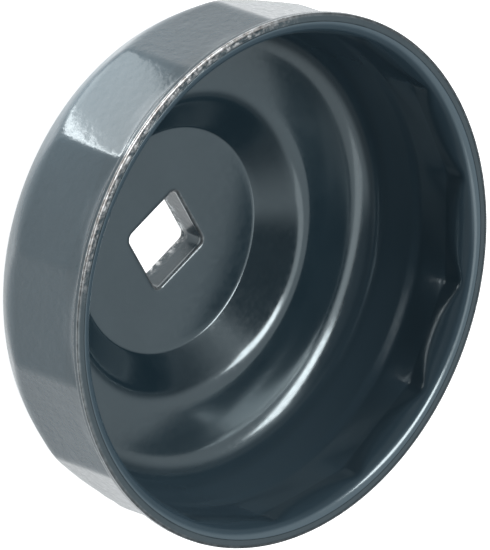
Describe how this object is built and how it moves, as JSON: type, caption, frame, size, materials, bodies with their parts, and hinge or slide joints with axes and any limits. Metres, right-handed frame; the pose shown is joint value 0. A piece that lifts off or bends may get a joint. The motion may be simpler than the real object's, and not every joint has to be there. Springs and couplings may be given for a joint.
{
  "type": "oil filter wrench",
  "caption": "Deep-drawn steel cup with flats round its inner wall, a flared lip and a square drive hole, for turning a spin-on oil filter by its end.",
  "frame": {"origin": "centre of the drive collar's end face, the lowest face of the cup", "axes": "+Z along the cup's axis, out of its mouth; X and Y square to the sides of the drive hole"},
  "size_m": [0.072, 0.072, 0.0274],
  "materials": {
    "blackened_steel": "glossy black coat on drawn steel, satin on the flats outside, bare and torn where the lip was trimmed"
  },
  "bodies": {
    "root": {"wrench_cup": "blackened_steel"}
  },
  "joints": []
}
